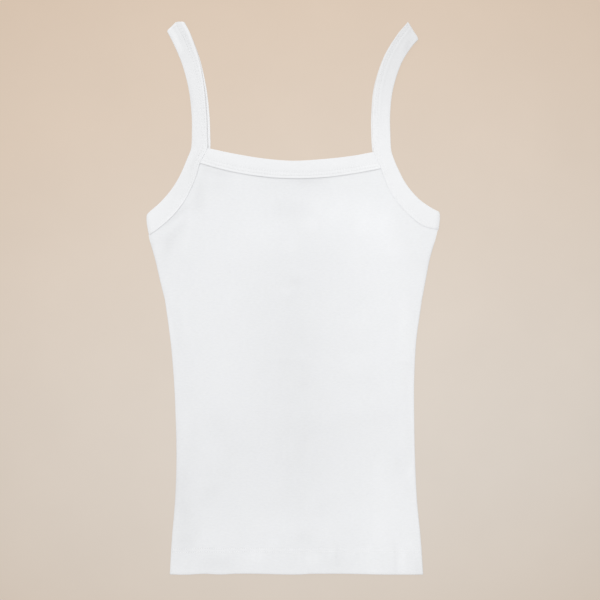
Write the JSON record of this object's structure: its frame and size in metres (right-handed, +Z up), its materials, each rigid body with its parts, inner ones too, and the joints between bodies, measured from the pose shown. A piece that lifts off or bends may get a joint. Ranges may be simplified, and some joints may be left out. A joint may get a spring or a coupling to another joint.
{
  "type": "tank top",
  "caption": "White cotton camisole tank top laid flat, front up: front and back panels with hems, bound necklines, and armhole bindings that run on as narrow straps.",
  "frame": {"origin": "on the surface that the garment lies on, below the middle of its whole outline", "axes": "+X to the right as seen from above, +Y from the hem to the straps, +Z up out of the front"},
  "size_m": [0.3229, 0.6075, 0.0049],
  "materials": {
    "body_jersey": "matte fine cotton knit, white",
    "binding_rib": "matte folded strip of the same cotton knit, white"
  },
  "bodies": {
    "root": {"front_panel": "body_jersey", "back_panel": "body_jersey", "front_neck_binding": "binding_rib", "back_neck_binding": "binding_rib", "left_armhole_strap": "binding_rib", "right_armhole_strap": "binding_rib"}
  },
  "joints": []
}
